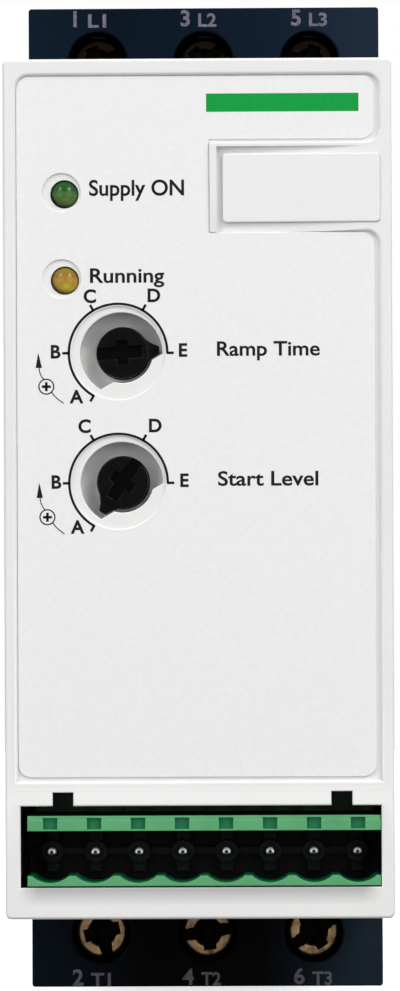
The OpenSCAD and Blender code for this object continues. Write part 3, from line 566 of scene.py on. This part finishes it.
# ---------------------------------------------------------------- print
class Ink:
    """Thin closed shapes laid on a front face at one depth."""

    def __init__(self, depth, thick=0.012):
        self.bm = bmesh.new()
        self.d0, self.d1 = depth, depth + thick

    def polygon(self, pts):
        """A closed outline of (x, z) points, counter-clockwise seen from the front."""
        back = [self.bm.verts.new(P(x, self.d0, z)) for x, z in pts]
        front = [self.bm.verts.new(P(x, self.d1, z)) for x, z in pts]
        self.bm.faces.new(front)
        self.bm.faces.new(back[::-1])
        n = len(pts)
        for i in range(n):
            j = (i + 1) % n
            self.bm.faces.new((back[i], back[j], front[j], front[i]))

    def stroke(self, pts, width):
        """A line of constant width through the points, built as one strip."""
        left, right = [], []
        n = len(pts)
        for i in range(n):
            a, b = Vector(pts[max(0, i - 1)]), Vector(pts[min(n - 1, i + 1)])
            t = (b - a).normalized()
            m = Vector((-t.y, t.x)) * (width / 2)
            left.append(Vector(pts[i]) + m)
            right.append(Vector(pts[i]) - m)
        back_l = [self.bm.verts.new(P(p.x, self.d0, p.y)) for p in left]
        back_r = [self.bm.verts.new(P(p.x, self.d0, p.y)) for p in right]
        front_l = [self.bm.verts.new(P(p.x, self.d1, p.y)) for p in left]
        front_r = [self.bm.verts.new(P(p.x, self.d1, p.y)) for p in right]
        for i in range(n - 1):
            self.bm.faces.new((front_r[i], front_r[i + 1], front_l[i + 1], front_l[i]))
            self.bm.faces.new((back_l[i], back_l[i + 1], back_r[i + 1], back_r[i]))
            self.bm.faces.new((back_r[i], back_r[i + 1], front_r[i + 1], front_r[i]))
            self.bm.faces.new((front_l[i], front_l[i + 1], back_l[i + 1], back_l[i]))
        for i in (0, n - 1):
            f = (back_r[i], front_r[i], front_l[i], back_l[i])
            self.bm.faces.new(f if i == 0 else f[::-1])

    def ring(self, cx, cz, r, width, n=40):
        inner, outer = [], []
        for ring, rr in ((inner, r - width / 2), (outer, r + width / 2)):
            for i in range(n):
                a = 2 * math.pi * i / n
                x, z = cx + rr * math.cos(a), cz + rr * math.sin(a)
                ring.append((self.bm.verts.new(P(x, self.d0, z)), self.bm.verts.new(P(x, self.d1, z))))
        for i in range(n):
            j = (i + 1) % n
            self.bm.faces.new((inner[i][1], outer[i][1], outer[j][1], inner[j][1]))
            self.bm.faces.new((inner[j][0], outer[j][0], outer[i][0], inner[i][0]))
            self.bm.faces.new((outer[i][0], outer[j][0], outer[j][1], outer[i][1]))
            self.bm.faces.new((inner[j][0], inner[i][0], inner[i][1], inner[j][1]))

    def arc(self, cx, cz, r, a0, a1, width, n=64):
        pts = []
        for i in range(n + 1):
            a = math.radians(a0 + (a1 - a0) * i / n)
            pts.append((cx + r * math.cos(a), cz + r * math.sin(a)))
        self.stroke(pts, width)

    def text(self, words, x, z, cap, align="LEFT", width=None, bold=0.0):
        """Words with their baseline at z; cap is the height of a capital. width stretches them to that length."""
        cu = bpy.data.curves.new("words", "FONT")
        cu.body = words
        cu.align_x = "LEFT"
        cu.size = 1.0
        cu.extrude = 0.0
        cu.offset = bold
        cu.resolution_u = 6
        ob = bpy.data.objects.new("words", cu)
        scene.collection.objects.link(ob)
        bpy.context.view_layer.update()
        me = bpy.data.meshes.new_from_object(ob.evaluated_get(bpy.context.evaluated_depsgraph_get()))
        bpy.data.objects.remove(ob)
        bpy.data.curves.remove(cu)
        flat = bmesh.new()
        flat.from_mesh(me)
        bpy.data.meshes.remove(me)
        bmesh.ops.remove_doubles(flat, verts=flat.verts, dist=1e-5)
        xs = [v.co.x for v in flat.verts]
        x0, x1 = min(xs), max(xs)
        s = cap / (CAP + 2 * bold)
        sx = s if width is None else width / (x1 - x0)
        w = (x1 - x0) * sx
        start = {"LEFT": x, "CENTER": x - w / 2}[align]
        for f in flat.faces:
            f.normal_update()
        geo = bmesh.ops.extrude_face_region(flat, geom=flat.faces[:])
        top = {v for v in geo["geom"] if isinstance(v, bmesh.types.BMVert)}
        for v in flat.verts:
            d = self.d1 if v in top else self.d0
            v.co = P(start + (v.co.x - x0) * sx, d, z + (v.co.y + bold) * s)
        bmesh.ops.recalc_face_normals(flat, faces=flat.faces)
        tmp = bpy.data.meshes.new("tmp")
        flat.to_mesh(tmp)
        flat.free()
        self.bm.from_mesh(tmp)
        bpy.data.meshes.remove(tmp)

    def done(self, name, ink, body="housing"):
        return place(name, self.bm, MATS[ink], body, weighted=False, smooth=20)


def cap_height():
    cu = bpy.data.curves.new("cap", "FONT")
    cu.body = "H"
    cu.size = 1.0
    ob = bpy.data.objects.new("cap", cu)
    scene.collection.objects.link(ob)
    bpy.context.view_layer.update()
    me = bpy.data.meshes.new_from_object(ob.evaluated_get(bpy.context.evaluated_depsgraph_get()))
    h = max(v.co.y for v in me.vertices) - min(v.co.y for v in me.vertices)
    bpy.data.objects.remove(ob)
    bpy.data.curves.remove(cu)
    bpy.data.meshes.remove(me)
    return h


CAP = cap_height()
LABEL_D = 129.9


def print_label():
    ink = Ink(LABEL_D)
    # dials: arc with marks, letters, and a small screwdriver sign with a turning arrow
    dials = (
        (-9.24, 15.67, {"A": (-14.07, 10.64), "B": (-16.46, 15.85), "C": (-12.48, 22.27), "D": (-5.06, 22.33), "E": (-1.71, 15.98)}, (-17.56, 11.82), (-18.48, 15.75), (-15.54, 9.88)),
        (-9.24, 0.62, {"A": (-14.00, -4.44), "B": (-16.43, 0.77), "C": (-13.15, 7.22), "D": (-4.96, 7.26), "E": (-1.61, 0.91)}, (-17.49, -3.29), (-18.42, 0.70), (-15.52, -5.24)),
    )
    for cx, cz, letters, c, tip, tail in dials:
        ink.arc(cx, cz, 5.70, 0.0, 240.0, 0.29)
        for a in (0, 60, 120, 180, 240):
            u = Vector((math.cos(math.radians(a)), math.sin(math.radians(a))))
            p0, p1 = u * 5.6, u * 6.45
            ink.stroke([(cx + p0.x, cz + p0.y), (cx + p1.x, cz + p1.y)], 0.30)
        for k, (x, z) in letters.items():
            ink.text(k, x, z - 0.79, 1.58, "CENTER", bold=0.030)
        ink.ring(c[0], c[1], 0.86, 0.15)
        for dx, dz in ((0.52, 0.15), (0.15, 0.52)):
            ink.polygon([(c[0] - dx, c[1] - dz), (c[0] + dx, c[1] - dz), (c[0] + dx, c[1] + dz), (c[0] - dx, c[1] + dz)])
        base = (tip[0] + 0.06, tip[1] - 1.76)
        ink.polygon([(base[0] - 0.37, base[1]), (base[0] + 0.37, base[1]), tip])
        ink.stroke([(base[0] + 0.02, base[1]), (base[0] + 0.12, base[1] - 0.55), (base[0] + 0.33, base[1] - 1.05), (c[0] - 0.28, c[1] + 0.85)], 0.12)
        ink.stroke([(c[0] + 0.62, c[1] - 0.66), (c[0] + 0.95, c[1] - 1.10), (c[0] + 1.40, c[1] - 1.52), tail], 0.12)
    # legends
    ink.text("Supply ON", -12.52, 33.88, 1.85, width=11.0, bold=0.018)
    ink.text("Running", -12.45, 23.80, 1.70, width=8.6, bold=0.018)
    ink.text("Ramp Time", 2.21, 15.27, 1.70, width=11.9, bold=0.018)
    ink.text("Start Level", 2.26, 0.24, 1.70, width=11.6, bold=0.018)
    ink.done("label_print", "ink_black")
    bar = Ink(LABEL_D)
    bar.polygon([(1.07, 43.56), (18.71, 43.56), (18.71, 45.68), (1.07, 45.68)])
    bar.done("label_bar", "ink_green")


def print_terminals():
    ink = Ink(70.0)
    for n, t, x, z in (("1", "L1", -16.29, 60.70), ("3", "L2", -2.30, 60.73), ("5", "L3", 11.75, 60.73)):
        ink.text(n, x, z - 1.05, 2.05, "CENTER", bold=0.026)
        ink.text(t, x + 2.80, z - 1.12, 1.70, "CENTER", width=2.3, bold=0.026)
    for n, t, x, z in (("2", "T1", -16.40, -60.85), ("4", "T2", -2.45, -60.80), ("6", "T3", 11.60, -60.76)):
        ink.text(n, x, z - 1.00, 2.05, "CENTER", bold=0.026)
        ink.text(t, x + 2.90, z - 1.10, 1.70, "CENTER", width=2.5, bold=0.026)
    ink.done("terminal_marks", "ink_mauve")


# ---------------------------------------------------------------- stage
def area(name, loc, target, size, power, color=(1, 1, 1), size_y=None):
    li = bpy.data.lights.new(name, "AREA")
    li.energy = power
    li.color = color
    li.shape = "DISK"
    li.size = size
    if size_y:
        li.shape = "RECTANGLE"
        li.size_y = size_y
    ob = bpy.data.objects.new(name, li)
    ob.location = loc
    ob.rotation_mode = "QUATERNION"
    ob.rotation_quaternion = (Vector(target) - Vector(loc)).to_track_quat("-Z", "Y")
    scene.collection.objects.link(ob)
    return ob


def stage():
    bm = bmesh.new()
    z = -0.062
    n = 96
    bm.faces.new([bm.verts.new((0.9 * math.cos(2 * math.pi * i / n), 0.9 * math.sin(2 * math.pi * i / n), z)) for i in range(n)])
    me = bpy.data.meshes.new("floor")
    bm.to_mesh(me)
    bm.free()
    floor = bpy.data.objects.new("floor", me)
    scene.collection.objects.link(floor)
    # the paper shows and takes shadows, and throws no light back at the object
    floor.visible_diffuse = False
    floor.visible_glossy = False
    m = Mat("floor_paper", (0.93, 0.93, 0.93), 0.9, Specular_IOR_Level=0.1, Emission_Strength=0.65)
    m.paint(m.ramp(m.noise(60, 3.0), [(0.3, (0.92, 0.92, 0.92)), (0.7, (0.94, 0.94, 0.94))]))
    me.materials.append(m.m)
    # the room: white behind the object, and a soft glow that comes mostly from above
    world = bpy.data.worlds.new("studio")
    scene.world = world
    world.use_nodes = True
    t = world.node_tree
    t.nodes.clear()
    where = t.nodes.new("ShaderNodeTexCoord")
    part = t.nodes.new("ShaderNodeSeparateXYZ")
    rise = t.nodes.new("ShaderNodeMapRange")
    for i, v in ((1, 0.0), (2, 1.0), (3, 0.23), (4, 0.55)):
        rise.inputs[i].default_value = v
    glow = t.nodes.new("ShaderNodeBackground")
    white = t.nodes.new("ShaderNodeBackground")
    white.inputs[1].default_value = 1.0
    path = t.nodes.new("ShaderNodeLightPath")
    mix = t.nodes.new("ShaderNodeMixShader")
    out = t.nodes.new("ShaderNodeOutputWorld")
    for a, b in ((where.outputs["Generated"], part.inputs[0]), (part.outputs["Z"], rise.inputs[0]), (rise.outputs[0], glow.inputs[1]),
                 (path.outputs["Is Camera Ray"], mix.inputs[0]), (glow.outputs[0], mix.inputs[1]), (white.outputs[0], mix.inputs[2]), (mix.outputs[0], out.inputs[0])):
        t.links.new(a, b)
    for b in (glow, white):
        b.inputs[0].default_value = (1, 1, 1, 1)
    area("right", (0.60, -0.62, 0.80), (0, -0.12, 0), 0.50, 4.6)
    area("left", (-0.60, -0.62, 0.80), (0, -0.12, 0), 0.50, 3.2)
    area("fill_right", (0.90, -1.10, 0.30), (0, -0.12, 0), 1.5, 8.6)
    area("fill_left", (-0.90, -1.10, 0.30), (0, -0.12, 0), 1.5, 6.9)
    # the floor behind the object
    area("behind", (0.0, 1.4, 1.1), (0, 0.5, -0.06), 1.4, 12.0)
    scene.view_settings.view_transform = "Standard"
    scene.view_settings.look = "None"
    scene.view_settings.exposure = 0.0


def camera():
    cam = bpy.data.cameras.new("camera")
    ob = bpy.data.objects.new("camera", cam)
    scene.collection.objects.link(ob)
    cam.sensor_width = 36.0
    cam.lens = 5405.4 * 36.0 / 991.0
    cam.clip_start, cam.clip_end = 0.05, 20.0
    right = Vector((0.9998853, 0.0144720, -0.0044674))
    fwd = Vector((-0.0143965, 0.9997603, 0.0164926))
    up = Vector((0.0047050, -0.0164264, 0.9998540))
    rot = Matrix((right, up, -fwd)).transposed()
    ob.matrix_world = Matrix.Translation(Vector((0.00917, -0.75482, -0.01117))) @ rot.to_4x4()
    scene.camera = ob


inner_pieces()
front_pieces()
base_pieces()
print_label()
print_terminals()
stage()
camera()
